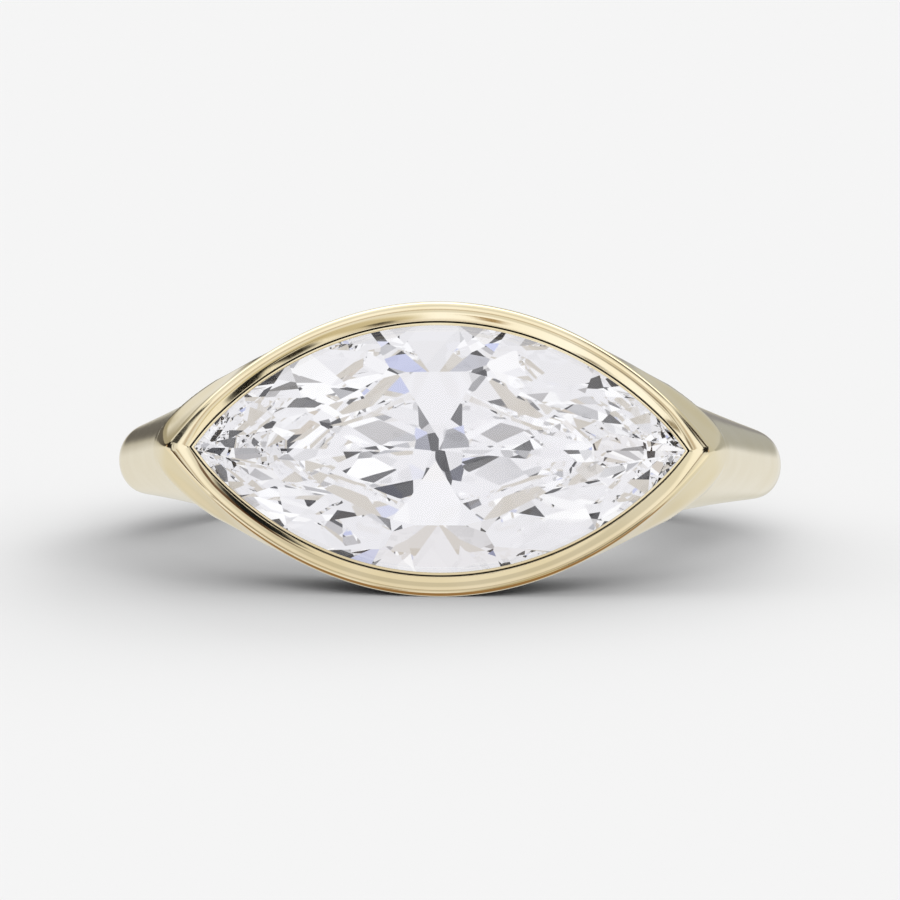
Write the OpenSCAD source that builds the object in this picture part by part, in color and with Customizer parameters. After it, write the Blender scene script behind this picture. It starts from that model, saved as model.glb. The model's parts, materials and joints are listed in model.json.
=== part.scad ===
// Marquise diamond ring: an east-west bezel set stone on a band with widening shoulders.
// The ring is drawn with the finger hole along Z and the stone facing -Y, then tipped
// onto the two places that it rests on when it lies on its side.
// "Height" below is the distance from the finger axis towards the face of the stone.

/* [Finger hole] */
// Inside diameter of the band
finger_d = 16.5; // [15.5:0.1:18]

/* [Band] */
// Wall of the band, from the finger hole to the outer face
band_t = 1.75; // [1.5:0.05:2.1]
// Width of the band across the back
band_w = 1.96; // [1.7:0.02:2.4]
// Depth of the rounding of the outer face
band_round = 0.8; // [0.5:0.05:1]
// Width of the crest of the shoulders where they meet the bezel
shoulder_w = 3; // [2.6:0.05:3.4]
// Depth of the rounding of the shoulders where they meet the bezel
shoulder_round = 2.3; // [1.6:0.1:2.6]
// How much the sides of the shoulders flare for each millimetre in from the outer face
flare = 0.3; // [0:0.05:0.4]
// Height at which the shoulders leave the bezel
shoulder_h = 11.2; // [10.6:0.1:11.4]
// Depth of the rounding at the top of the shoulders
roof_round = 2.2; // [1:0.1:2.6]

/* [Stone] */
// Length of the stone, tip to tip
stone_l = 14.5; // [13.5:0.1:15]
// Width of the stone
stone_w = 7.3; // [6.8:0.1:7.6]
// How far the sides are drawn in from plain arcs, as a share
stone_slim = 0.07; // [0:0.01:0.1]
// Height of the crown, girdle to table
crown_h = 1; // [0.8:0.05:1.2]
// Thickness of the girdle where the main facets reach it
girdle_t = 0.22; // [0.18:0.02:0.3]
// Depth of the pavilion, girdle to culet
pavilion_h = 3.1; // [2.8:0.05:3.3]
// Height of the star facets' lower corners, as a share of the crown
star_drop = 0.5; // [0.4:0.05:0.6]
// Depth of the lower girdle facets, as a share of the pavilion
lower_drop = 0.76; // [0.7:0.02:0.82]
// Room between the culet and the finger hole
culet_room = 0.4; // [0.3:0.05:0.8]

/* [Bezel] */
// Thickness of the bezel outside the girdle
bezel_t = 0.65; // [0.55:0.05:0.8]
// Height of the bezel's ridge above the girdle
ridge_h = 0.43; // [0.35:0.02:0.5]
// How far the lip of the bezel covers the edge of the stone
lip_cover = 0.05; // [0.04:0.01:0.08]
// Inward lean of the bezel's wall for each millimetre down
wall_lean = 0.25; // [0.2:0.05:0.3]
// Further drawing in of the bezel's sides for each millimetre out from the stone
rim_slim = 0.08; // [0:0.01:0.1]

/* [Hidden] */

finger_r = finger_d / 2;
band_r = finger_r + band_t;

// Outline of the stone: two equal arcs that meet at the tips
outline_r = (pow(stone_l / 2, 2) + pow(stone_w / 2, 2)) / stone_w;
outline_e = outline_r - stone_w / 2;
tip_angle = asin(stone_l / 2 / outline_r);

culet_h = finger_r + culet_room;
girdle_low = culet_h + pavilion_h;
girdle_top = girdle_low + girdle_t;

// Places of the main facets and of the joints between them, along a quarter of the
// outline from the tip to the belly, as a share of the arc
QUARTER = [1, 0.79, 0.55, 0.28, 0];
// Run of each crown main from the girdle to the table: tip, side, belly, side, and round
CROWN_RUN = [2.7, 1.75, 1.55, 1.75];
MAINS = 8;
STATIONS = 2 * MAINS;
// Straight pieces of girdle between two stations
GIRDLE_STEPS = 4;

// Columns of the gold's surface between the two tips; odd, so that the ring rests on an
// edge and not on a corner
COLUMNS = 39;
// Sharpness of the fillet between the bezel's wall and the shoulders
BLEND = 5;
// How fast the shoulders widen above the finger axis, and where their flare starts and ends
GROWTH = 0.8;
FLARE_FROM = 0.3;
FLARE_TO = 1.7;
// Angle between two rows of the band, and the number of rows up the shoulders and the wall
BAND_STEP = 4.5;
SHOULDER_ROWS = 12;
WALL_ROWS = 7;

// Mixing and small vector helpers
function lerp(a, b, t) = a + (b - a) * t;
function at(list, x) = let (i = floor(x)) i >= len(list) - 1 ? list[len(list) - 1] :
    lerp(list[i], list[i + 1], x - i);
function cross2(a, b) = a.x * b.y - a.y * b.x;
// Point where the lines n1.p = c1 and n2.p = c2 meet
function meet(n1, c1, n2, c2) =
    [c1 * n2.y - c2 * n1.y, n1.x * c2 - n2.x * c1] / cross2(n1, n2);

// Half width of two plain arcs, moved out by t from the stone, drawn in between tips and belly
function slimmed(z, t) = z * (1 - (stone_slim + rim_slim * t) * (1 - z / (stone_w / 2 + t)));

// The stone, in plan [x, z] and height above the girdle. A station is a place on the
// outline: 0 is the right tip, 4 the upper belly, 8 the left tip and 12 the lower belly.
function quarter(s) = s <= 4 ? s : s <= 8 ? 8 - s : s <= 12 ? s - 8 : 16 - s;
function sign_x(s) = s <= 4 || s >= 12 ? 1 : -1;
function sign_z(s) = s <= 8 ? 1 : -1;
function arc_angle(s) = tip_angle * at(QUARTER, quarter(s));
function girdle_at(s) = [
    sign_x(s) * outline_r * sin(arc_angle(s)),
    sign_z(s) * slimmed(outline_r * cos(arc_angle(s)) - outline_e, 0)
];

// Main facet i starts at station 2i and climbs straight in from the outline
function main_at(i) = girdle_at(2 * (i % MAINS));
function main_in(i) = let (s = 2 * (i % MAINS), a = quarter(s) == 0 ? 90 : arc_angle(s))
    -[sign_x(s) * sin(a), sign_z(s) * cos(a)];
function crown_run(i) = CROWN_RUN[i % len(CROWN_RUN)];
function pavilion_run(i) = -main_at(i) * main_in(i);
// Plan point shared by mains i and i + 1 after each has climbed a share of its run
function shared_at(i, share, run_a, run_b) = meet(
    main_in(i), main_at(i) * main_in(i) + share * run_a,
    main_in(i + 1), main_at(i + 1) * main_in(i + 1) + share * run_b
);
function star_at(i) = shared_at(i, star_drop, crown_run(i), crown_run(i + 1));
function lower_at(i) = shared_at(i, lower_drop, pavilion_run(i), pavilion_run(i + 1));
// Height at plan point p of the girdle facet from corner q to the girdle chord g to h
function chord_height(p, g, h, q, q_height) =
    q_height * cross2(h - g, p - g) / cross2(h - g, q - g);
// Height of the scalloped girdle edge at girdle step j, on the crown or pavilion side
function scallop(j, crown) = let (
    span = floor(j / GIRDLE_STEPS),
    i = floor(span / 2),
    g = girdle_at(span),
    h = girdle_at((span + 1) % STATIONS),
    q = crown ? star_at(i) : lower_at(i),
    q_height = crown ? star_drop * crown_h : -lower_drop * pavilion_h
) chord_height(girdle_at(j / GIRDLE_STEPS), g, h, q, q_height);

GIRDLE_POINTS = STATIONS * GIRDLE_STEPS;
function stone_point(p, height) = [p.x, -height, p.y];

stone_points = concat(
    [for (i = [0:MAINS - 1])
        stone_point(main_at(i) + crown_run(i) * main_in(i), girdle_top + crown_h)],
    [for (i = [0:MAINS - 1]) stone_point(star_at(i), girdle_top + star_drop * crown_h)],
    [for (j = [0:GIRDLE_POINTS - 1])
        stone_point(girdle_at(j / GIRDLE_STEPS), girdle_top + scallop(j, true))],
    [for (j = [0:GIRDLE_POINTS - 1])
        stone_point(girdle_at(j / GIRDLE_STEPS), girdle_low + scallop(j, false))],
    [for (i = [0:MAINS - 1]) stone_point(lower_at(i), girdle_low - lower_drop * pavilion_h)],
    [[0, -culet_h, 0]]
);

// Index of each kind of corner in stone_points
function i_table(i) = i % MAINS;
function i_star(i) = MAINS + (i + MAINS) % MAINS;
function i_top(j) = 2 * MAINS + j % GIRDLE_POINTS;
function i_low(j) = i_top(j) + GIRDLE_POINTS;
function i_lower(i) = 2 * MAINS + 2 * GIRDLE_POINTS + (i + MAINS) % MAINS;
i_culet = 3 * MAINS + 2 * GIRDLE_POINTS;
MAIN_STEPS = 2 * GIRDLE_STEPS;

stone_faces = concat(
    [[for (i = [MAINS - 1:-1:0]) i_table(i)]],
    [for (i = [0:MAINS - 1]) [i_table(i), i_table(i + 1), i_star(i)]],
    [for (i = [0:MAINS - 1]) [i_table(i), i_star(i), i_top(MAIN_STEPS * i), i_star(i - 1)]],
    [for (i = [0:MAINS - 1], half = [0, 1]) let (start = MAIN_STEPS * i + GIRDLE_STEPS * half)
        concat([i_star(i)], [for (j = [GIRDLE_STEPS:-1:0]) i_top(start + j)])],
    [for (j = [0:GIRDLE_POINTS - 1]) [i_top(j), i_top(j + 1), i_low(j + 1), i_low(j)]],
    [for (i = [0:MAINS - 1], half = [0, 1]) let (start = MAIN_STEPS * i + GIRDLE_STEPS * half)
        concat([i_lower(i)], [for (j = [0:GIRDLE_STEPS]) i_low(start + j)])],
    [for (i = [0:MAINS - 1])
        [i_culet, i_lower(i - 1), i_low(MAIN_STEPS * i), i_lower(i)]]
);

// The gold. Half width at x of the stone's outline moved out by t, or 0 beyond its tips
function outline_half(x, t) = let (r = outline_r + t)
    x * x + outline_e * outline_e >= r * r ? 0 : slimmed(sqrt(r * r - x * x) - outline_e, t);
function outline_tip(t) = sqrt(pow(outline_r + t, 2) - pow(outline_e, 2));

// The shoulders' outer face is a straight line from its foot on the band's circle to the
// bezel; line_lean is the angle that it makes with the height axis
line_x = outline_tip(bezel_t) + 0.18;
line_lean = atan(shoulder_h / line_x) - acos(band_r / norm([line_x, shoulder_h]));
line_foot = band_r * sin(line_lean);
wall_h = girdle_top + 0.12;
// Half length of the outer form at height h
function reach(h) = h <= line_foot ? sqrt(max(0, band_r * band_r - h * h)) :
    h <= shoulder_h ? line_x + (shoulder_h - h) * tan(line_lean) :
    let (t = (h - shoulder_h) / (wall_h - shoulder_h))
        lerp(line_x - (h - shoulder_h) * tan(line_lean), outline_tip(bezel_t), t * t * (3 - 2 * t));
// Distance from the point (x, h) in to the outer face
function inset(x, h) = h <= line_foot ? band_r - norm([x, h]) : (reach(h) - x) * cos(line_lean);
// Half width of the band and shoulders, before the outer face and the top are rounded
function flank(rise, inset) = lerp(band_w, shoulder_w, pow(rise, GROWTH)) / 2
    + flare * rise * (min(FLARE_TO, max(FLARE_FROM, inset)) - FLARE_FROM);
// Half width of a rounded edge at a share of its depth
function rounded(share) = let (u = 1 - min(1, max(0, share))) sqrt(1 - u * u);
// Half width of the outer form at (x, h)
function half_width(x, h) = let (
    rise = min(1, max(0, h / girdle_top)),
    inset = inset(abs(x), h),
    depth = rounded(inset / lerp(band_round, shoulder_round, rise)),
    band = flank(rise, inset) * depth * rounded((wall_h - h) / roof_round),
    wall = outline_half(x * outline_tip(bezel_t) / max(reach(h), outline_tip(bezel_t)),
        bezel_t - wall_lean * (wall_h - h))
) pow(pow(band, BLEND) + pow(wall, BLEND), 1 / BLEND);

// One closed row of the surface: columns 0 and COLUMNS are the tips
function column_x(k) = cos(180 * k / COLUMNS);
function column_sign(k) = k <= COLUMNS ? 1 : -1;
function form_row(h) = [for (k = [0:2 * COLUMNS - 1]) let (x = reach(h) * column_x(k))
    [x, -h, k % COLUMNS == 0 ? 0 : column_sign(k) * half_width(x, h)]];
function rim_row(t, h) = [for (k = [0:2 * COLUMNS - 1]) let (x = outline_tip(t) * column_x(k))
    [x, -h, k % COLUMNS == 0 ? 0 : column_sign(k) * outline_half(x, t)]];

// Rim, seat and light hole, from the top of the wall inwards:
// [distance out from the girdle, height above the top of the girdle]
RIM = [
    [bezel_t, wall_h - girdle_top],
    [bezel_t - 0.02, ridge_h - 0.16],
    [bezel_t - 0.09, ridge_h - 0.05],
    [bezel_t - 0.2, ridge_h],
    [bezel_t - 0.34, ridge_h - 0.05],
    [bezel_t - 0.48, ridge_h - 0.14],
    [0.07, ridge_h - 0.23],
    [0.055, 0.125],
    [-lip_cover, 0.11],
    [-lip_cover, 0.07],
    [0.03, 0.015],
    [0.03, -girdle_t - 0.03],
    [-0.55, -girdle_t - 0.65],
    [-1.3, -2.3],
    [-2.2, -4],
    [-2.2, -5.5]
];

band_rows = [for (a = [BAND_STEP:BAND_STEP:89 + line_lean]) form_row(-band_r * cos(a))];
shoulder_rows = [for (i = [0:SHOULDER_ROWS])
    form_row(lerp(line_foot, shoulder_h, i / SHOULDER_ROWS))];
wall_rows = [for (i = [1:WALL_ROWS - 1])
    form_row(lerp(shoulder_h, wall_h, sin(90 * i / WALL_ROWS)))];
rim_rows = [for (r = RIM) rim_row(r[0], girdle_top + r[1])];
gold_rows = concat(band_rows, shoulder_rows, wall_rows, rim_rows);
ROW = 2 * COLUMNS;
last_row = ROW * (len(gold_rows) - 1);
gold_points = concat(
    [for (row = gold_rows) each row],
    [[0, band_r, 0], [0, -girdle_top - RIM[len(RIM) - 1][1], 0]]
);
i_back = ROW * len(gold_rows);
gold_faces = concat(
    [for (k = [0:ROW - 1]) [i_back, k, (k + 1) % ROW]],
    [for (r = [0:len(gold_rows) - 2], k = [0:ROW - 1])
        let (a = ROW * r + k, b = ROW * r + (k + 1) % ROW)
            each [[a, a + ROW, b], [b, a + ROW, b + ROW]]],
    [for (k = [0:ROW - 1]) [last_row + k, i_back + 1, last_row + (k + 1) % ROW]]
);

// Angle at which the ring lies: the bezel's wall and the back of the band both touch
function rest_slope(n) = n == 0 ? 0 : let (
    s = rest_slope(n - 1),
    back = sqrt(pow(band_round * s, 2) + pow(band_w / 2, 2))
) (half_width(0, wall_h) - back) / (wall_h + band_r - band_round);
tilt = atan(rest_slope(5));

function tipped(p) = [
    p.x,
    p.y * cos(tilt) + p.z * sin(tilt),
    p.z * cos(tilt) - p.y * sin(tilt)
];
all_tipped = [for (p = concat(gold_points, stone_points)) tipped(p)];
floor_z = min([for (p = all_tipped) p.z]);
middle_y = (min([for (p = all_tipped) p.y]) + max([for (p = all_tipped) p.y])) / 2;

module at_rest() {
    translate([0, -middle_y, -floor_z]) rotate([-tilt, 0, 0]) children();
}

module gold_ring() color("khaki") at_rest() difference() {
    polyhedron(gold_points, gold_faces);
    cylinder(r = finger_r, h = 4 * stone_w, center = true, $fn = 180);
}

module diamond() color("lavender") at_rest() polyhedron(stone_points, stone_faces);

gold_ring();
diamond();
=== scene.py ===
import json
import math

import bmesh
import bpy
import numpy as np
from mathutils import Matrix, Vector


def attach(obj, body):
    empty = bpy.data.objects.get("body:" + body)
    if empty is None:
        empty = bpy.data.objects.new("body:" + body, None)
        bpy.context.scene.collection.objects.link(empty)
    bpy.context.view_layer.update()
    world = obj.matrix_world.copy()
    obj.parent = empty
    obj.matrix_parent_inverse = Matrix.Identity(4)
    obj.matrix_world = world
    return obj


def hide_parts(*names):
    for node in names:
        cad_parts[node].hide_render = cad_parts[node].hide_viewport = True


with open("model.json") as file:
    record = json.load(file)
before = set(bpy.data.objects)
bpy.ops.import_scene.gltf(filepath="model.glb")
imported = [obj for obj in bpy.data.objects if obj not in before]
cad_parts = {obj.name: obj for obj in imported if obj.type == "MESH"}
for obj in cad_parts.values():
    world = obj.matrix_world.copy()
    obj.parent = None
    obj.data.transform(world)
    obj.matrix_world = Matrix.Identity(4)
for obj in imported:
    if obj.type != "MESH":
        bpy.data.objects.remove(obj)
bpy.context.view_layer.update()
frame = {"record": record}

MM = 0.001

# Sizes of the ring in millimetres: the solids' own, but with the shoulders a little narrower
# and their corners a little crisper
FINGER_R = 8.25
BAND_R = 10.0
BAND_W = 1.96
BAND_ROUND = 0.8
SHOULDER_W = 2.92
SHOULDER_ROUND = 2.3
SHOULDER_GROWTH = 0.8
FLARE = 0.3
FLARE_FROM = 0.3
FLARE_TO = 1.7
STONE_L = 14.5
STONE_W = 7.3
GIRDLE_TOP = 11.97
GIRDLE_T = 0.22
BEZEL_T = 0.65
LIP_COVER = 0.05
WALL_LEAN = 0.25
WALL_H = GIRDLE_TOP + 0.12
STONE_SLIM = 0.07
RIM_SLIM = 0.08
BLEND = 7
ROOF_ROUND = 1.5

# Heights between which the tips of the wall grow out to the shoulders' outer face
PROW_TOP = 10.6
PROW_FOOT = 9.6

OUTLINE_R = ((STONE_L / 2) ** 2 + (STONE_W / 2) ** 2) / STONE_W
OUTLINE_E = OUTLINE_R - STONE_W / 2

# Radius of the outline's tips at the rim, how much it grows for each millimetre down the
# wall, and how far down it goes on growing
TIP_ROUND = 0.27
NOSE_GROWTH = 1.1
NOSE_DEPTH = 0.9

# Cut of the stone: share of the outline that the table takes, heights and depths
TABLE_SHARE = 0.62
CROWN_H = 1.0
PAVILION_H = 3.1
CROWN_SINK = 0.02
GIRDLE_POINTS = 96
BLANK_MARGIN = 1

# Rings of facets in one quarter: directions from the belly's (0) to the tip's (90), and how
# steep they are against the plane from the girdle to the table's edge or to the culet
# name, side, steepness, directions
FACETS = [
    ("crown_main", 1, 1.0, (0, 27, 90)),
    ("crown_half", 1, 1.22, (7, 20, 34, 48)),
    ("crown_star", 1, 0.58, (14, 42)),
    ("pavilion_main", -1, 1.0, (0, 27)),
    ("pavilion_half", -1, 1.07, (7, 20, 34, 48)),
]

# How far a hand-cut facet strays, in degrees round the axis and as a share of its steepness,
# and the values that spread the strays
STRAY_TURN = 1.2
STRAY_SLOPE = 0.02
TURN_STEP = 2.399
SLOPE_STEP = 1.618
STRAY_START = 1.7
STRAY_DRIFT = 0.9

# How finely the gold is drawn
ARC_COLUMNS = 64
TIP_COLUMNS = 10
SHOULDER_COLUMNS = 60
BAND_COLUMNS = 110
SIDE_ROWS = 44
EDGE_ROWS = 6
HOLE_ROWS = 5
EDGE_ROUND = 0.16

# How much the columns crowd towards the tips, and towards the top of the shoulders
TIP_CROWDING = 0.25
SHOULDER_CROWDING = 1.6

# Points closer than the weld are joined, edges shorter than the sliver go, and a cut that
# passes a point closer than this runs through it (metres in the gold, mm in the stone)
GOLD_WELD = 2e-7
GOLD_SLIVER = 1e-8
STONE_WELD = 2e-4
STONE_CUT = 1e-5


def tip_centre(t, r):
    """Where the circle that rounds the tip of the outline moved out by t has its centre."""
    return np.sqrt(np.maximum(0, (OUTLINE_R + t - r) ** 2 - OUTLINE_E ** 2))


def slimmed(z, t):
    """Half width z of two plain arcs, drawn in a little between the tips and the belly."""
    return z * (1 - (STONE_SLIM + RIM_SLIM * t) * (1 - z / (STONE_W / 2 + t)))


def outline_half(x, t, r):
    """Half width at x of the stone's outline moved out by t, with tips rounded to r."""
    big = OUTLINE_R + t
    centre = tip_centre(t, r)
    arc = np.sqrt(np.maximum(0, big * big - x * x)) - OUTLINE_E
    cap = np.sqrt(np.maximum(0, r * r - (x - centre) ** 2))
    half = np.where(x * (big - r) < centre * big, arc, cap)
    return np.where(big > OUTLINE_E + r, slimmed(np.maximum(0, half), t), 0)


def outline_curve(t, r):
    """The same outline as points [x, z] from the right tip to the left one."""
    big = OUTLINE_R + t
    turn = math.acos(OUTLINE_E / (big - r))
    cap = np.linspace(np.pi / 2, turn, TIP_COLUMNS + 1)[:-1]
    share = np.linspace(1, 0, ARC_COLUMNS + 1)
    arc = turn * share * (1 + TIP_CROWDING - TIP_CROWDING * share)
    x = np.concatenate([tip_centre(t, r) + r * np.sin(cap), big * np.sin(arc)])
    z = np.concatenate([r * np.cos(cap), big * np.cos(arc) - OUTLINE_E])
    z[0] = 0
    half = np.stack([x, slimmed(z, t)], -1)
    return np.vstack([half, half[-2::-1] * (-1, 1)])


def apex(t, r=TIP_ROUND):
    """How far out the tip of the outline moved out by t stands when rounded to r."""
    return tip_centre(t, r) + r


# How far out from the girdle the rim's crest and the lip's outer edge stand, and how high
# above the girdle the lip's edge is (mm)
CREST_T = 0.52
LIP_EDGE = 0.075
LIP_H = 0.2

# How the rim's top tilts from its lip at the belly and at the tips, then how it rolls over to
# the wall and to the shoulder's slope: distance out (mm), tilt (degrees)
BELLY_TILT = [(LIP_EDGE, 31), (0.16, 29), (0.24, 24), (0.29, 15), (0.37, 7), (0.46, -1),
              (CREST_T, -12)]
TIP_TILT = [(LIP_EDGE, 25), (0.12, 6), (0.2, 0), (0.3, -5), (0.4, -9), (0.46, -13),
            (CREST_T, -19)]
WALL_ROLL = [(CREST_T, -12), (0.57, -38), (0.61, -62), (BEZEL_T, -84)]
END_ROLL = [(0, -19), (0.04, -30), (0.08, -44), (0.12, -57), (0.17, -67), (0.24, -73),
            (0.4, -77), (0.62, -79.5)]

# Steps between two rows of these tables, and the length (mm) before a tip over which the
# belly's section turns into the tip's
KNOT_STEPS = 4
TIP_BLEND = 1.5

# The groove beside the lip (mm out) with its top, and how far above and below the girdle the seat
# reaches; both get painted shade, near black, standing in for the shadow between lip and stone
GROOVE = (0.036, 0.0745)
GROOVE_TOP = LIP_H - 0.01
SEAT_SHADE_MARGIN = 0.1

# How much further in the lip reaches at the tips, and how far out the rim's top takes that up
TIP_COVER = 0.08
TIP_COVER_OUT = 0.3

# Where the outline's tips start to be rounded, and over what width they become fully so
ROUND_FROM = 0.06
ROUND_OVER = 0.4

# The lip and its groove as curves of [out, above] in millimetres
# name, start, its handle, the end's handle, end, steps
LIP_CURVES = [
    ("outer_corner", (LIP_EDGE, LIP_H), (0.072, 0.19), (0.071, 0.18), (0.07, 0.15), 3),
    ("groove", (0.07, 0.15), (0.066, 0.05), (0.044, 0.04), (0.038, 0.1), 4),
    ("inner_corner", (0.038, 0.1), (0.036, 0.13), (0.032, 0.137), (0.024, 0.138), 3),
    ("bead", (0.024, 0.138), (0.01, 0.14), (-0.02, 0.14), (-0.036, 0.136), 3),
    ("edge", (-0.036, 0.136), (-0.046, 0.133), (-0.05, 0.125), (-LIP_COVER, 0.087), 3),
]

# The seat and the light hole under the lip, as points of [out, above]
SEAT = [(0.03, 0.02), (0.03, -GIRDLE_T - 0.03), (-0.55, -GIRDLE_T - 0.65), (-0.6, -0.95)]
LIGHT_HOLE = [(-1.3, -2.3), (-2.15, -3.6), (-2.2, -3.66)]

# No less than this half width on the side, so that its two halves never touch (mm)
THINNEST = 0.004


def rolled(tilts, above):
    """Points [out, above] of a curve that starts at a height and follows the tilts."""
    out, tilt = np.array(tilts, float).T
    knots = np.arange(len(tilts))
    steps = np.linspace(0, knots[-1], knots[-1] * KNOT_STEPS + 1)
    t = np.interp(steps, knots, out)
    slope = np.tan(np.radians(np.interp((steps[1:] + steps[:-1]) / 2, knots, tilt)))
    rise = np.concatenate([[0], np.cumsum(slope * np.diff(t))])
    return np.stack([t, above + rise], -1)


BELLY_TOP = rolled(BELLY_TILT, LIP_H)
TIP_TOP = rolled(TIP_TILT, LIP_H)
TIP_DROP = BELLY_TOP[-1, 1] - TIP_TOP[-1, 1]
WALL_SIDE = rolled(WALL_ROLL, BELLY_TOP[-1, 1])[::-1]
END_SIDE = (rolled(END_ROLL, TIP_TOP[-1, 1]) + (apex(CREST_T), GIRDLE_TOP))[::-1]

# The straight flank of the shoulder, from the foot of that roll down to the round band
TIP = float(apex(BEZEL_T))
LINE_X, SHOULDER_H = END_SIDE[0]
LINE_LEAN = math.atan2(SHOULDER_H, LINE_X) - math.acos(BAND_R / math.hypot(LINE_X, SHOULDER_H))
LINE_FOOT = BAND_R * math.sin(LINE_LEAN)


def tip_share(x):
    """How near x is to the tips: 0 along the belly, 1 at the tips."""
    near = np.clip((np.abs(x) - TIP + TIP_BLEND) / TIP_BLEND, 0, 1)
    return near * near * (3 - 2 * near)


def reach(h):
    """Half length of the ring's outer form at height h."""
    circle = np.sqrt(np.maximum(0, BAND_R ** 2 - h * h))
    line = LINE_X + (SHOULDER_H - h) * math.tan(LINE_LEAN)
    roll = np.interp(h, END_SIDE[:, 1], END_SIDE[:, 0])
    return np.where(h <= LINE_FOOT, circle, np.where(h <= SHOULDER_H, line, roll))


def half_width(x, h):
    """Half width of the ring's outer form at (x, h)."""
    x = np.abs(x)
    # the band and shoulders, rounded at their outer face and at their top
    inset = np.where(h <= LINE_FOOT, BAND_R - np.hypot(x, h), (reach(h) - x) * math.cos(LINE_LEAN))
    rise = np.clip(h / GIRDLE_TOP, 0, 1)
    depth = np.clip(inset / (BAND_ROUND + (SHOULDER_ROUND - BAND_ROUND) * rise), 0, 1)
    roof = np.clip((WALL_H - h) / ROOF_ROUND, 0, 1)
    dome = np.clip(1 - np.hypot(1 - depth, 1 - roof), 0, 1)
    flank = (BAND_W + (SHOULDER_W - BAND_W) * rise ** SHOULDER_GROWTH) / 2
    flank = flank + FLARE * rise * (np.clip(inset, FLARE_FROM, FLARE_TO) - FLARE_FROM)
    band = flank * np.sqrt(1 - (1 - dome) ** 2)
    # the bezel's wall, whose rounded tips fill out to the shoulders' outer face
    above = h - GIRDLE_TOP + TIP_DROP * tip_share(x)
    t = np.interp(above, WALL_SIDE[:, 1], WALL_SIDE[:, 0])
    down = np.maximum(0, WALL_SIDE[0, 1] - above)
    lean = WALL_LEAN * down
    nose = TIP_ROUND + NOSE_GROWTH * np.minimum(down, NOSE_DEPTH)
    full = np.clip((h - PROW_FOOT) / (PROW_TOP - PROW_FOOT), 0, 1)
    own = apex(t - lean * full, nose)
    inward = x * own / np.maximum(reach(h), own)
    wall = outline_half(inward, t - lean, nose)
    return (band ** BLEND + wall ** BLEND) ** (1 / BLEND)


def bezier(p0, p1, p2, p3, steps):
    """Points of a cubic curve, without its first."""
    s = np.linspace(0, 1, steps + 1)[1:, None]
    p0, p1, p2, p3 = (np.array(p, float) for p in (p0, p1, p2, p3))
    return p0 * (1 - s) ** 3 + 3 * p1 * s * (1 - s) ** 2 + 3 * p2 * s * s * (1 - s) + p3 * s ** 3


def rim_profiles():
    """The rim from its crest to the light hole: [out, above] at the belly and the tips."""
    lip = [bezier(*curve) for _, *curve in LIP_CURVES] + [SEAT, LIGHT_HOLE]
    return np.vstack([BELLY_TOP[::-1], *lip]), np.vstack([TIP_TOP[::-1], *lip])


def painted_shade_share(t, above):
    """Where shade is painted: 1 in the narrow groove beside the lip and on the seat under it, 0 on
    the polished faces.
    """
    groove = (t > GROOVE[0]) & (t < GROOVE[1]) & (above < GROOVE_TOP)
    seat_shade = (above < SEAT_SHADE_MARGIN) & (above > -GIRDLE_T - SEAT_SHADE_MARGIN)
    return np.where(groove | seat_shade, 1.0, 0.0)


def on_hole(angle, z):
    """Point on the finger hole's wall at an angle from the face's side."""
    return np.stack([FINGER_R * np.sin(angle), FINGER_R * np.cos(angle), z], -1)


def rim_grid():
    """Rows of the rim for its upper half, from tip to tip, down to the finger hole."""
    rows = []
    for belly, tip in zip(*rim_profiles()):
        round_share = np.clip((belly[0] - ROUND_FROM) / ROUND_OVER, 0, 1)
        at_belly = outline_curve(belly[0], TIP_ROUND * round_share)
        near_lip = np.clip((TIP_COVER_OUT - tip[0]) / (TIP_COVER_OUT - LIP_EDGE), 0, 1)
        at_tip = outline_curve(tip[0] - TIP_COVER * near_lip, TIP_ROUND * round_share)
        near = tip_share(at_belly[:, 0])
        x, z = (at_belly + (at_tip - at_belly) * near[:, None]).T
        rows.append(np.stack([x, GIRDLE_TOP + belly[1] + (tip[1] - belly[1]) * near, z], -1))
    x, z = rows[-1][:, 0], rows[-1][:, 2]
    rows.append(np.stack([x, np.sqrt(FINGER_R ** 2 - x * x), z], -1))
    return np.stack(rows, 1)


def outer_loop(rim):
    """The ring's outer edge as points [x, h]: along the rim's crest, then round the back."""
    s = np.linspace(0, 1, SHOULDER_COLUMNS + 1)[1:]
    h = rim[0, 0, 1] + (LINE_FOOT - rim[0, 0, 1]) * s ** SHOULDER_CROWDING
    shoulder = np.stack([reach(h), h], -1)
    a = np.linspace(LINE_LEAN, -np.pi / 2, BAND_COLUMNS // 2 + 1)[1:]
    band = np.stack([BAND_R * np.cos(a), BAND_R * np.sin(a)], -1)
    right = np.vstack([shoulder, band])
    left = right[-2::-1] * (-1, 1)
    # the rim's columns run right to left, so the loop goes on from the left tip
    return np.vstack([rim[:, 0, :2], left[::-1], right[::-1]])


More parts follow.
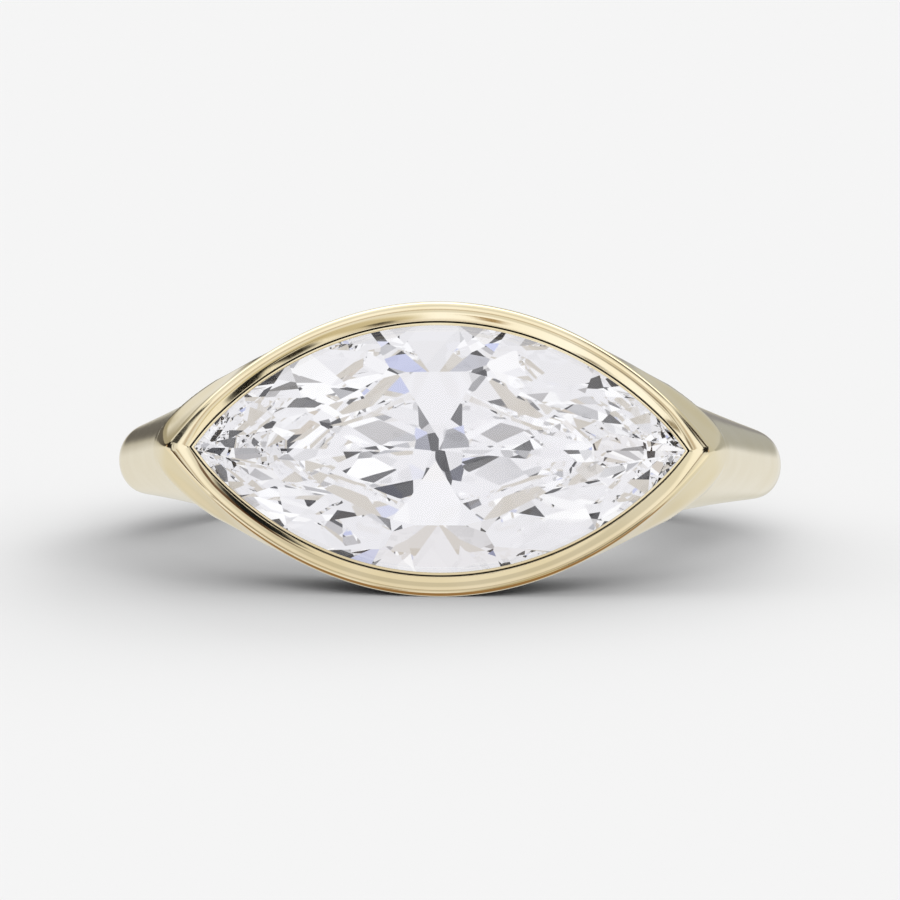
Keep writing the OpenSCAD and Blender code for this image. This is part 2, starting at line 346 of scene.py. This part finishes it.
def side_grid(rim):
    """Rows from the outer edge, over the side and its rounded edge, and into the hole."""
    outer = outer_loop(rim)
    heads = len(rim)
    r_out = np.hypot(outer[:, 0], outer[:, 1])
    angle = np.arctan2(outer[:, 0], outer[:, 1])
    z_out = np.zeros(len(outer))
    z_out[:heads] = rim[:, 0, 2]

    columns = []
    for u in 1 - np.cos(np.linspace(0, np.pi / 2, SIDE_ROWS)):
        r = r_out + (FINGER_R + EDGE_ROUND - r_out) * u
        x, h = r * np.sin(angle), r * np.cos(angle)
        z = np.maximum(half_width(x, h), THINNEST) if u > 0 else z_out
        columns.append(np.stack([x, h, z], -1))
    for q in np.linspace(0, np.pi / 2, EDGE_ROWS + 1)[1:]:
        r = FINGER_R + EDGE_ROUND * (1 - math.sin(q))
        x, h = r * np.sin(angle), r * np.cos(angle)
        columns.append(np.stack([x, h, half_width(x, h) - EDGE_ROUND * (1 - math.cos(q))], -1))
    end_angle, end_z = angle.copy(), np.zeros(len(outer))
    end_angle[:heads] = np.arctan2(rim[:, -1, 0], rim[:, -1, 1])
    end_z[:heads] = rim[:, -1, 2]
    edge_z = columns[-1][:, 2]
    for u in np.linspace(0, 1, HOLE_ROWS + 1)[1:]:
        columns.append(on_hole(angle + (end_angle - angle) * u, edge_z + (end_z - edge_z) * u))
    return np.stack(columns, 1)


def grid_faces(rows, columns, closed):
    """Quads of a grid of points, closed round or not."""
    faces = []
    for i in range(rows if closed else rows - 1):
        n = (i + 1) % rows
        faces += [
            (i * columns + j, n * columns + j, n * columns + j + 1, i * columns + j + 1)
            for j in range(columns - 1)
        ]
    return faces


def ring_to_frame():
    """Matrix from the ring's own axes in millimetres to the frame."""
    hole = next(m for m in frame["record"]["mounts"] if m["name"] == "finger_hole")
    tilt = math.atan2(hole["axis"][1], hole["axis"][2])
    return Matrix.Translation(hole["pos_m"]) @ Matrix.Rotation(-tilt, 4, "X") @ Matrix.Scale(MM, 4)


TO_FRAME = ring_to_frame()


def gold_mesh():
    """The gold body as one closed mesh."""
    rim = rim_grid()
    side = side_grid(rim)
    rows = rim_profiles()[0]
    # Painted shade: each point carries its share of the dark shade painted into the groove and
    # seat, stored as the attribute groove
    painted_shade_rows = np.append(painted_shade_share(rows[:, 0], rows[:, 1]), 0)
    points, faces, groove = [], [], []
    for grid, closed, share in ((side, True, np.zeros(side.shape[1])), (rim, False, painted_shade_rows)):
        for flip in (1, -1):
            start = len(points)
            groove += share.tolist() * grid.shape[0]
            flat = grid.reshape(-1, 3)
            points += [TO_FRAME @ Vector((x, -h, flip * z)) for x, h, z in flat.tolist()]
            quads = grid_faces(grid.shape[0], grid.shape[1], closed)
            faces += [tuple(start + v for v in q) for q in quads]
    mesh = bpy.data.meshes.new("gold_ring_smooth")
    mesh.from_pydata(points, [], faces)
    mesh.attributes.new("groove", "FLOAT", "POINT").data.foreach_set("value", groove)
    bm = bmesh.new()
    bm.from_mesh(mesh)
    bmesh.ops.remove_doubles(bm, verts=bm.verts, dist=GOLD_WELD)
    bmesh.ops.dissolve_degenerate(bm, edges=bm.edges, dist=GOLD_SLIVER)
    bmesh.ops.recalc_face_normals(bm, faces=bm.faces)
    for f in bm.faces:
        f.smooth = True
    bm.to_mesh(mesh)
    bm.free()
    return mesh


def strayed(i, step):
    """A fixed spread of values between -1 and 1."""
    return math.sin(STRAY_START + step * i * i + STRAY_DRIFT * i)


def all_round(directions):
    """The directions of one quarter, repeated in the other three."""
    whole = set()
    for a in directions:
        whole |= {a % 360, -a % 360, (180 - a) % 360, (180 + a) % 360}
    return sorted(whole)


def facet_planes(outline):
    """Every cut facet as a point on it and its outward normal, in the ring's axes."""
    planes = [((0, GIRDLE_TOP + CROWN_H, 0), (0, 1, 0))]
    for name, side, steepness, directions in FACETS:
        for direction in all_round(directions):
            i = len(planes)
            a = math.radians(direction + STRAY_TURN * strayed(i, TURN_STEP))
            across = np.array([math.sin(a), math.cos(a)])
            girdle = float((outline @ across).max())
            height = CROWN_H if side > 0 else PAVILION_H
            run = girdle * (1 - TABLE_SHARE if side > 0 else 1)
            slope = height / run * steepness * (1 + STRAY_SLOPE * strayed(i, SLOPE_STEP))
            if name == "crown_star":
                point = (girdle * TABLE_SHARE, GIRDLE_TOP + CROWN_H)
            elif side > 0:
                point = (girdle, GIRDLE_TOP - CROWN_SINK)
            else:
                point = (girdle, GIRDLE_TOP - GIRDLE_T)
            spot = (point[0] * across[0], point[1], point[0] * across[1])
            planes.append((spot, (slope * across[0], side, slope * across[1])))
    return planes


def stone_mesh():
    """The cut stone: a straight-walled blank with every facet ground off it in turn."""
    share = np.linspace(0, 1, GIRDLE_POINTS // 2 + 1)
    turn = math.acos(OUTLINE_E / OUTLINE_R)
    x = OUTLINE_R * np.sin(turn * (1 - 2 * share))
    z = slimmed(np.sqrt(OUTLINE_R ** 2 - x * x) - OUTLINE_E, 0)
    outline = np.vstack([np.stack([x, z], -1), np.stack([-x, -z], -1)[1:-1]])
    bm = bmesh.new()
    top = GIRDLE_TOP + CROWN_H + BLANK_MARGIN
    bottom = GIRDLE_TOP - PAVILION_H - BLANK_MARGIN
    upper = [bm.verts.new((px, top, pz)) for px, pz in outline.tolist()]
    lower = [bm.verts.new((px, bottom, pz)) for px, pz in outline.tolist()]
    bm.faces.new(upper)
    bm.faces.new(lower[::-1])
    for i in range(len(upper)):
        n = (i + 1) % len(upper)
        bm.faces.new((upper[n], upper[i], lower[i], lower[n]))
    for spot, normal in facet_planes(outline):
        parts = bm.verts[:] + bm.edges[:] + bm.faces[:]
        cut = bmesh.ops.bisect_plane(bm, geom=parts, dist=STONE_CUT, plane_co=spot,
                                     plane_no=normal, clear_outer=True)
        rim = [g for g in cut["geom_cut"] if isinstance(g, bmesh.types.BMEdge)]
        if len(rim) > 2:
            bmesh.ops.contextual_create(bm, geom=rim)
    bmesh.ops.remove_doubles(bm, verts=bm.verts, dist=STONE_WELD)
    bmesh.ops.recalc_face_normals(bm, faces=bm.faces)
    for v in bm.verts:
        v.co = TO_FRAME @ Vector((v.co.x, -v.co.y, v.co.z))
    bmesh.ops.recalc_face_normals(bm, faces=bm.faces)
    mesh = bpy.data.meshes.new("diamond_cut")
    bm.to_mesh(mesh)
    bm.free()
    return mesh


def link(name, data):
    """A new object in the scene."""
    obj = bpy.data.objects.new(name, data)
    bpy.context.scene.collection.objects.link(obj)
    return obj


class Nodes:
    """Short calls for building a node tree."""

    def __init__(self, tree):
        self.tree = tree
        tree.nodes.clear()

    def add(self, kind, inputs=(), **settings):
        """A node with its settings; each input is a socket to link or a constant."""
        node = self.tree.nodes.new(kind)
        for name, value in settings.items():
            setattr(node, name, value)
        for i, value in enumerate(inputs):
            if isinstance(value, bpy.types.NodeSocket):
                self.tree.links.new(value, node.inputs[i])
            elif value is not None:
                node.inputs[i].default_value = value
        return node.outputs[0] if node.outputs else None

    def math(self, operation, *inputs):
        """A sum on numbers."""
        return self.add("ShaderNodeMath", inputs, operation=operation)

    def ramp(self, value, outer, inner):
        """0 beyond outer, 1 within inner, smooth between."""
        return self.add("ShaderNodeMapRange", (value, outer, inner, 0.0, 1.0),
                        interpolation_type="SMOOTHSTEP")

    def vector(self, operation, *inputs):
        """A sum on colours or directions."""
        return self.add("ShaderNodeVectorMath", inputs, operation=operation)

    def blend(self, share, first, second):
        """From the first to the second colour by a share."""
        change = self.vector("SUBTRACT", second, first)
        return self.vector("MULTIPLY_ADD", share, change, first)

    def noise(self, place, scale, detail, roughness):
        """Noise between 0 and 1 at a place."""
        return self.add("ShaderNodeTexNoise", (place, None, scale, detail, roughness))

    def bump(self, height, distance, normal=None):
        """A bump of so many metres from a height between 0 and 1."""
        node = self.tree.nodes.new("ShaderNodeBump")
        node.inputs["Distance"].default_value = distance
        self.tree.links.new(height, node.inputs["Height"])
        if normal is not None:
            self.tree.links.new(normal, node.inputs["Normal"])
        return node.outputs[0]


# The part of a noise's values that is spread over tones and roughness
NOISE_SPAN = (0.3, 0.7)

# Gold: a slow ripple and fine wear, each with scale, detail and roughness, and height in metres
GOLD_TONES = ((0.9, 0.79, 0.53, 1), (0.95, 0.85, 0.61, 1))
GOLD_ROUGHNESS = (0.05, 0.1)
RIPPLE = (700.0, 1.0, 0.4)
RIPPLE_HEIGHT = 2.5e-6
WEAR = (9000.0, 5.0, 0.65)
WEAR_HEIGHT = 4e-8
# Painted shade, near black, for the groove beside the lip and the seat under the stone
GROOVE_PAINTED_SHADE = (0.03, 0.02, 0.01)

# Painted shade that darkens the lower rim: its colour factor, then where it starts and is full, up
# (z) and back (y), in metres
LOWER_RIM_PAINTED_SHADE = (0.8, 0.77, 0.72)
LOWER_Z = (0.0042, 0.0012)
LOWER_Y = (-0.0085, -0.0105)


def gold_material():
    """Polished pale yellow gold, with a hand-polished ripple and fine wear, painted shade in the
    groove by the lip and on the seat, and painted shade darkening the lower rim.
    """
    mat = bpy.data.materials.new("polished_gold")
    mat.use_nodes = True
    n = Nodes(mat.node_tree)
    place = n.tree.nodes.new("ShaderNodeTexCoord").outputs["Object"]
    ripple = n.noise(place, *RIPPLE)
    wear = n.noise(place, *WEAR)
    bump = n.bump(wear, WEAR_HEIGHT, n.bump(ripple, RIPPLE_HEIGHT))
    tone = n.tree.nodes.new("ShaderNodeValToRGB")
    n.tree.links.new(ripple, tone.inputs[0])
    for stop, level, colour in zip(tone.color_ramp.elements, NOISE_SPAN, GOLD_TONES):
        stop.position, stop.color = level, colour
    # Painted shade: low down and at the face's side the rim's colour is darkened, standing in for
    # shade
    axes = n.tree.nodes.new("ShaderNodeSeparateXYZ")
    n.tree.links.new(place, axes.inputs[0])
    lower_shade = n.ramp(axes.outputs["Z"], *LOWER_Z)
    lower_shade = n.math("MULTIPLY", lower_shade, n.ramp(axes.outputs["Y"], *LOWER_Y))
    shaded_tone = n.vector("MULTIPLY", tone.outputs[0], LOWER_RIM_PAINTED_SHADE)
    body = n.blend(lower_shade, tone.outputs[0], shaded_tone)
    # Painted shade: where the attribute groove is 1 the colour goes near black, standing in for
    # the shadow between lip and stone
    groove = n.tree.nodes.new("ShaderNodeAttribute")
    groove.attribute_name = "groove"
    shader = n.tree.nodes.new("ShaderNodeBsdfPrincipled")
    shader.inputs["Metallic"].default_value = 1
    n.tree.links.new(n.blend(groove.outputs["Fac"], body, GROOVE_PAINTED_SHADE),
                     shader.inputs["Base Color"])
    n.tree.links.new(n.add("ShaderNodeMapRange", (wear, *NOISE_SPAN, *GOLD_ROUGHNESS)),
                     shader.inputs["Roughness"])
    n.tree.links.new(bump, shader.inputs["Normal"])
    n.add("ShaderNodeOutputMaterial", (shader.outputs[0],))
    return mat


# Diamond: the strength of its outer glare, and the noise of its polish like the gold's
DIAMOND_IOR = 2.417
DIAMOND_GLARE = (0.4, 0.4, 0.41, 1)
DIAMOND_ROUGHNESS = (0.0, 0.006)
POLISH = (1500.0, 1.0, 0.5)
POLISH_HEIGHT = 6e-8


def diamond_material():
    """Clear diamond, with the faint marks of the polishing wheel."""
    mat = bpy.data.materials.new("diamond_clear")
    mat.use_nodes = True
    n = Nodes(mat.node_tree)
    place = n.tree.nodes.new("ShaderNodeTexCoord").outputs["Object"]
    polish = n.noise(place, *POLISH)
    shader = n.tree.nodes.new("ShaderNodeBsdfPrincipled")
    shader.inputs["Base Color"].default_value = (1, 1, 1, 1)
    n.tree.links.new(n.add("ShaderNodeMapRange", (polish, *NOISE_SPAN, *DIAMOND_ROUGHNESS)),
                     shader.inputs["Roughness"])
    n.tree.links.new(n.bump(polish, POLISH_HEIGHT), shader.inputs["Normal"])
    shader.inputs["IOR"].default_value = DIAMOND_IOR
    shader.inputs["Transmission Weight"].default_value = 1
    shader.inputs["Specular Tint"].default_value = DIAMOND_GLARE
    n.add("ShaderNodeOutputMaterial", (shader.outputs[0],))
    return mat


FLOOR_TONE = 0.8
FLOOR_HALF = 3.0


def add_floor():
    """A pale seamless floor."""
    mesh = bpy.data.meshes.new("floor")
    corners = ((-1, -1), (1, -1), (1, 1), (-1, 1))
    mesh.from_pydata([(x * FLOOR_HALF, y * FLOOR_HALF, 0) for x, y in corners], [], [(0, 1, 2, 3)])
    floor = link("floor", mesh)
    mat = bpy.data.materials.new("floor_pale")
    mat.use_nodes = True
    shader = mat.node_tree.nodes["Principled BSDF"]
    shader.inputs["Base Color"].default_value = (*[FLOOR_TONE] * 3, 1)
    shader.inputs["Roughness"].default_value = 1
    shader.inputs["Specular IOR Level"].default_value = 0
    floor.data.materials.append(mat)
    floor.visible_glossy = False
    floor.visible_transmission = False


# Where the camera stands (degrees, metres from its target) and its lens (mm)
CAMERA_AZIMUTH = 1.47
CAMERA_ELEVATION = 6.88
CAMERA_ROLL = 0.3
CAMERA_DISTANCE = 0.3162
CAMERA_LENS = 420.5
CAMERA_SENSOR = 36
CAMERA_CLIP = 0.01
CAMERA_TARGET = (0.00004, 0, 0.00297)


def towards(azimuth, elevation):
    """Unit vector at an azimuth from the face's side to the right and an elevation."""
    azimuth, elevation = math.radians(azimuth), math.radians(elevation)
    level = math.cos(elevation)
    return Vector((math.sin(azimuth) * level, -math.cos(azimuth) * level, math.sin(elevation)))


def add_camera():
    """The camera at the photograph's angle."""
    back = towards(CAMERA_AZIMUTH, CAMERA_ELEVATION)
    cam = bpy.data.cameras.new("camera")
    cam.sensor_width = CAMERA_SENSOR
    cam.lens = CAMERA_LENS
    cam.clip_start = CAMERA_CLIP
    obj = link("camera", cam)
    turn = (-back).to_track_quat("-Z", "Y").to_matrix()
    roll = Matrix.Rotation(math.radians(CAMERA_ROLL), 3, "Z")
    obj.rotation_euler = (turn @ roll).to_euler()
    obj.location = Vector(CAMERA_TARGET) + back * CAMERA_DISTANCE
    bpy.context.scene.camera = obj


# The studio round the ring: even light, and the soft boxes and flags set before it, each
# drawn over the last. Azimuth runs from the camera's side towards the right.
# name, azimuth, elevation, half width, half height, slant, soft edge (degrees), light
SURROUND = (0.81, 0.81, 0.81)
CARDS = [
    ("ceiling_behind", 180, 66, 84, 28, 0, 14, (1.9, 1.9, 1.9)),
    ("ceiling_front", 0, 64, 75, 9, 0, 6, (1.06, 1.06, 1.06)),
    ("bright_middle", 4, 14, 22, 9, 0, 10, (1.05, 1.05, 1.07)),
    ("line_middle", -2, 3.5, 24, 2.4, 0, 3, (0.6, 0.52, 0.45)),
    ("line_upper_right", -16, -5, 6, 4, 0, 4, (0.3, 0.25, 0.2)),
    ("low_left_dark", 36, 43, 13, 8, 0, 6, (0.18, 0.12, 0.09)),
    ("floor_left", -36, -32, 42, 20, 0, 8, (1.1, 1.12, 1.2)),
    ("floor_right", 48, -26, 44, 20, 0, 10, (0.98, 0.96, 0.92)),
    ("floor_tan", 12, -28, 9, 19, 0, 8, (0.62, 0.56, 0.42)),
    ("right_high", 118, 20, 60, 22, 0, 6, (0.58, 0.58, 0.55)),
    ("right_low", 118, -24, 62, 21, 0, 4, (0.8, 0.8, 0.79)),
    ("behind_right_middle", 160, 1.5, 24, 4, 0, 5, (0.43, 0.43, 0.4)),
    ("behind_right_edge", 177, -1.5, 3.5, 2.2, 0, 2, (0.28, 0.27, 0.27)),
    ("left_warm", -108, -24, 48, 12, 0, 8, (0.88, 0.84, 0.78)),
    ("behind_left_low", -157, -18, 25, 17, 0, 6, (0.77, 0.75, 0.69)),
    ("behind_low", 179, -16, 7, 9, 0, 6, (0.68, 0.67, 0.62)),
    ("floor_behind", 180, -62, 120, 17, 0, 10, (0.34, 0.2, 0.09)),
    ("floor_under", 0, -72, 180, 22, 0, 10, (0.4, 0.25, 0.12)),
    ("behind_left", 230, 14, 25, 18, 1.67, 6, (0.4, 0.37, 0.29)),
    ("behind_left_edge", 209, 2.2, 20, 4.9, 1.45, 1.6, (0.13, 0.12, 0.105)),
    ("behind_left_dark", -116, 10, 24, 9, 1.2, 10, (0.05, 0.04, 0.03)),
    ("left_brown", -104, 2, 20, 5, 0, 5, (0.6, 0.42, 0.26)),
    ("left_black", -82, 15, 30, 18, 0, 8, (0.015, 0.012, 0.01)),
    ("left_black_inner", -46, 7, 9, 13, 0, 6, (0.015, 0.015, 0.012)),
    ("left_under", -48, -10, 14, 4, 1.6, 4, (0.12, 0.07, 0.03)),
    ("right_black", 30, 14, 9, 9, 0.5, 5, (0.015, 0.012, 0.01)),
    ("right_crescent", 43, 27, 8, 4, 0, 4, (0.05, 0.035, 0.025)),
    ("right_brown", 46, 19, 7, 6, 0, 5, (0.1, 0.05, 0.03)),
    ("right_orange", 50, 6, 12, 8, 0, 6, (0.55, 0.4, 0.27)),
    ("line_left", -38, 24.5, 4.5, 8.5, -2.3, 3, (0.02, 0.02, 0.02)),
    ("line_right", 40, 22.5, 4.5, 11, 1.8, 3, (0.02, 0.02, 0.02)),
    ("high_brown", 33, 46.5, 8, 5, 0.8, 5, (0.1, 0.045, 0.015)),
    ("high_black", 52, 53.5, 13, 6.5, 0, 4, (0.01, 0.012, 0.015)),
    ("low_black", 31, -30, 6, 10, -1.45, 3, (0.01, 0.01, 0.01)),
    ("low_black_inner", 28, -38, 4.5, 6, -0.6, 4, (0.02, 0.015, 0.01)),
    ("low_spot_right", 12, -45, 3, 3, 0, 4, (0.05, 0.04, 0.03)),
    ("low_spot_left", -42, -43, 6, 2.5, 0, 5, (0.15, 0.1, 0.06)),
    ("streak_left", -40, -24, 3, 9, 1.76, 3, (0.3, 0.25, 0.18)),
    ("streak_middle", -10, -34, 2.5, 10, 0.35, 4, (0.4, 0.28, 0.15)),
]

# The even light that the floor gets from all round
EVEN_LIGHT = 0.685

# The same studio as the stone's facets throw it back, in the same columns
STONE_SURROUND = (0.84, 0.835, 0.87)
STONE_CARDS = [
    ("overhead", 0, 66, 180, 18, 0, 16, (1.0, 1.0, 1.03)),
    ("bright_left", -14, 10, 9, 10, 0, 5, (1.0, 1.0, 1.02)),
    ("bright_right", 14, -6, 9, 10, 0, 5, (1.0, 1.0, 1.02)),
    ("bright_low", 0, -26, 14, 6, 0, 5, (1.05, 1.05, 1.07)),
    ("grey_left", -26, 2, 6, 16, 0, 4, (0.48, 0.48, 0.51)),
    ("grey_right", 26, 0, 5, 14, 0, 4, (0.5, 0.49, 0.51)),
    ("grey_high", 2, 40, 34, 7, 0, 6, (0.45, 0.44, 0.45)),
    ("blue_left", -50, 2, 6, 12, 0, 6, (0.5, 0.54, 0.8)),
    ("blue_right", 49, -4, 5, 12, 0, 6, (0.54, 0.57, 0.8)),
    ("beige_high", 4, 47, 14, 4, 0, 5, (0.62, 0.56, 0.5)),
    ("dark_left", -34, 20, 12, 11, 0, 4, (0.03, 0.03, 0.035)),
    ("dark_right", 33, 19, 11, 10, 0, 4, (0.04, 0.04, 0.045)),
    ("dark_low_left", -36, -19, 10, 8, 0, 4, (0.06, 0.06, 0.065)),
    ("dark_low_right", 35, -18, 10, 8, 0, 4, (0.06, 0.06, 0.065)),
    ("dark_high", 1, 38, 9, 5, 0, 4, (0.05, 0.05, 0.055)),
    ("lens", 1.5, 7, 5.5, 5, 0, 2, (0.03, 0.03, 0.035)),
    ("warm_behind", 180, 0, 50, 30, 0, 14, (0.62, 0.58, 0.53)),
]


def painted(n, azimuth, elevation, light, cards):
    """Light by direction: the surround with its cards drawn over it in turn."""
    for _, card_azimuth, card_elevation, half_w, half_h, slant, soft, colour in cards:
        rise = n.math("SUBTRACT", elevation, float(card_elevation))
        middle = n.math("MULTIPLY_ADD", rise, float(slant), float(card_azimuth))
        turn = n.math("WRAP", n.math("SUBTRACT", azimuth, middle), 180.0, -180.0)
        across = n.ramp(n.math("ABSOLUTE", turn), half_w + soft / 2, half_w - soft / 2)
        along = n.ramp(n.math("ABSOLUTE", rise), half_h + soft / 2, half_h - soft / 2)
        change = n.vector("SUBTRACT", colour, light)
        light = n.vector("MULTIPLY_ADD", n.math("MULTIPLY", across, along), change, light)
    return light


def add_world():
    """The studio, as a function of direction alone."""
    world = bpy.data.worlds.new("studio")
    world.use_nodes = True
    n = Nodes(world.node_tree)
    direction = n.tree.nodes.new("ShaderNodeTexCoord").outputs["Generated"]
    axes = n.tree.nodes.new("ShaderNodeSeparateXYZ")
    n.tree.links.new(direction, axes.inputs[0])
    x, y, z = axes.outputs
    degrees = 180 / math.pi
    azimuth = n.math("MULTIPLY", n.math("ARCTAN2", x, n.math("MULTIPLY", y, -1.0)), degrees)
    elevation = n.math("MULTIPLY", n.math("ARCSINE", z), degrees)
    room = n.add("ShaderNodeBackground", (painted(n, azimuth, elevation, SURROUND, CARDS), 1.0))
    glass = n.add("ShaderNodeBackground",
                  (painted(n, azimuth, elevation, STONE_SURROUND, STONE_CARDS), 1.0))
    path = n.tree.nodes.new("ShaderNodeLightPath").outputs
    seen = n.add("ShaderNodeMixShader", (path["Is Transmission Ray"], room, glass))
    even = n.add("ShaderNodeBackground", ((*[EVEN_LIGHT] * 3, 1), 1.0))
    lit = n.add("ShaderNodeMixShader", (path["Is Diffuse Ray"], seen, even))
    n.add("ShaderNodeOutputWorld", (lit,))
    world.cycles.sampling_method = "NONE"
    bpy.context.scene.world = world


# Soft lamps that light the floor and cast the ring's shadow, and how wide each is (degrees)
# name, azimuth, elevation (degrees), strength
LAMP_SPREAD = 30
LAMPS = [
    ("lamp_front", 0, 25, 1.19),
    ("lamp_front_right", 30, 25, 0.68),
    ("lamp_right", 120, 40, 0.28),
    ("lamp_behind_right", 150, 25, 0.68),
    ("lamp_behind", 180, 25, 0.42),
]


def add_lamps():
    """The lamps, for the floor alone."""
    for name, azimuth, elevation, strength in LAMPS:
        data = bpy.data.lights.new(name, "SUN")
        data.angle = math.radians(LAMP_SPREAD)
        data.energy = strength
        lamp = link(name, data)
        lamp.rotation_euler = towards(azimuth, elevation).to_track_quat("Z", "Y").to_euler()
        lamp.visible_glossy = False
        lamp.visible_transmission = False


# Light goes on through the stone for this many turns
BOUNCES = 40

gold = link("gold_ring_smooth", gold_mesh())
gold.data.materials.append(gold_material())
gold.visible_transmission = False
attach(gold, "root")
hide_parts("gold_ring")

stone = link("diamond_cut", stone_mesh())
stone.data.materials.append(diamond_material())
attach(stone, "root")
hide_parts("diamond")

add_floor()
add_world()
add_lamps()
add_camera()
scene = bpy.context.scene
scene.view_settings.view_transform = "Standard"
scene.cycles.max_bounces = BOUNCES
scene.cycles.transmission_bounces = BOUNCES
scene.cycles.glossy_bounces = BOUNCES
scene.cycles.caustics_reflective = False
scene.cycles.caustics_refractive = False
